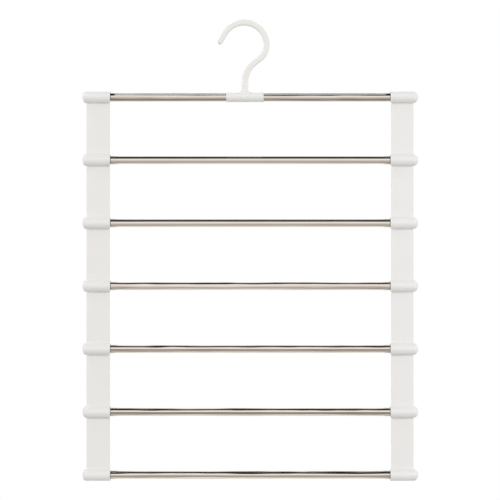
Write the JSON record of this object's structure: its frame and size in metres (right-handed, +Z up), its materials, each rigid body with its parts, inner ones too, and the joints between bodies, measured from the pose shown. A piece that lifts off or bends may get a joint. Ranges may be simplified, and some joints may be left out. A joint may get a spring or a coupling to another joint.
{
  "type": "multi tier trouser hanger",
  "caption": "Trouser hanger of polished steel bars hung one below another on hinged white plastic links, with a moulded hook that slides and turns on the top bar.",
  "frame": {"origin": "the rail seat: the lowest line of the inside of the hook's crown, where the hook rests on a rail", "axes": "+Z up, +X to the right seen from the front and along the bars, -Y towards the front"},
  "size_m": [0.36, 0.0128, 0.4947],
  "materials": {
    "tube_steel": "mirror polished stainless steel tube",
    "link_plastic": "white moulded polypropylene, semi gloss",
    "cap_plastic": "white moulded polypropylene, semi gloss",
    "hook_plastic": "white moulded polypropylene, semi gloss"
  },
  "bodies": {
    "hook": {"hook": "hook_plastic"},
    "top_bar": {"tube_1": "tube_steel"},
    "top_caps": {"top_cap_left": "cap_plastic", "top_cap_right": "cap_plastic"},
    "tier_2": {"tube_2": "tube_steel", "link_left_2": "link_plastic", "link_right_2": "link_plastic"},
    "tier_3": {"tube_3": "tube_steel", "link_left_3": "link_plastic", "link_right_3": "link_plastic"},
    "tier_4": {"tube_4": "tube_steel", "link_left_4": "link_plastic", "link_right_4": "link_plastic"},
    "tier_5": {"tube_5": "tube_steel", "link_left_5": "link_plastic", "link_right_5": "link_plastic"},
    "tier_6": {"tube_6": "tube_steel", "link_left_6": "link_plastic", "link_right_6": "link_plastic"},
    "tier_7": {"tube_7": "tube_steel", "link_left_7": "link_plastic", "link_right_7": "link_plastic"}
  },
  "joints": [
    {"name": "hook_slide", "type": "slide", "parent": "hook", "child": "top_bar", "axis": [1, 0, 0], "range_m": [-0.1348, 0.1232]},
    {"name": "top_swing", "type": "hinge", "parent": "top_bar", "child": "top_caps", "pos_m": [0.00655, 0, -0.07688], "axis": [1, 0, 0], "range_deg": [-150, 150]},
    {"name": "tier_2_swing", "type": "hinge", "parent": "top_caps", "child": "tier_2", "pos_m": [0.00655, 0, -0.07688], "axis": [1, 0, 0], "range_deg": [-8, 45]},
    {"name": "tier_3_swing", "type": "hinge", "parent": "tier_2", "child": "tier_3", "pos_m": [0.00655, 0, -0.14438], "axis": [1, 0, 0], "range_deg": [-8, 45]},
    {"name": "tier_4_swing", "type": "hinge", "parent": "tier_3", "child": "tier_4", "pos_m": [0.00655, 0, -0.21188], "axis": [1, 0, 0], "range_deg": [-8, 45]},
    {"name": "tier_5_swing", "type": "hinge", "parent": "tier_4", "child": "tier_5", "pos_m": [0.00655, 0, -0.27938], "axis": [1, 0, 0], "range_deg": [-8, 45]},
    {"name": "tier_6_swing", "type": "hinge", "parent": "tier_5", "child": "tier_6", "pos_m": [0.00655, 0, -0.34688], "axis": [1, 0, 0], "range_deg": [-8, 45]},
    {"name": "tier_7_swing", "type": "hinge", "parent": "tier_6", "child": "tier_7", "pos_m": [0.00655, 0, -0.41438], "axis": [1, 0, 0], "range_deg": [-8, 45]}
  ]
}
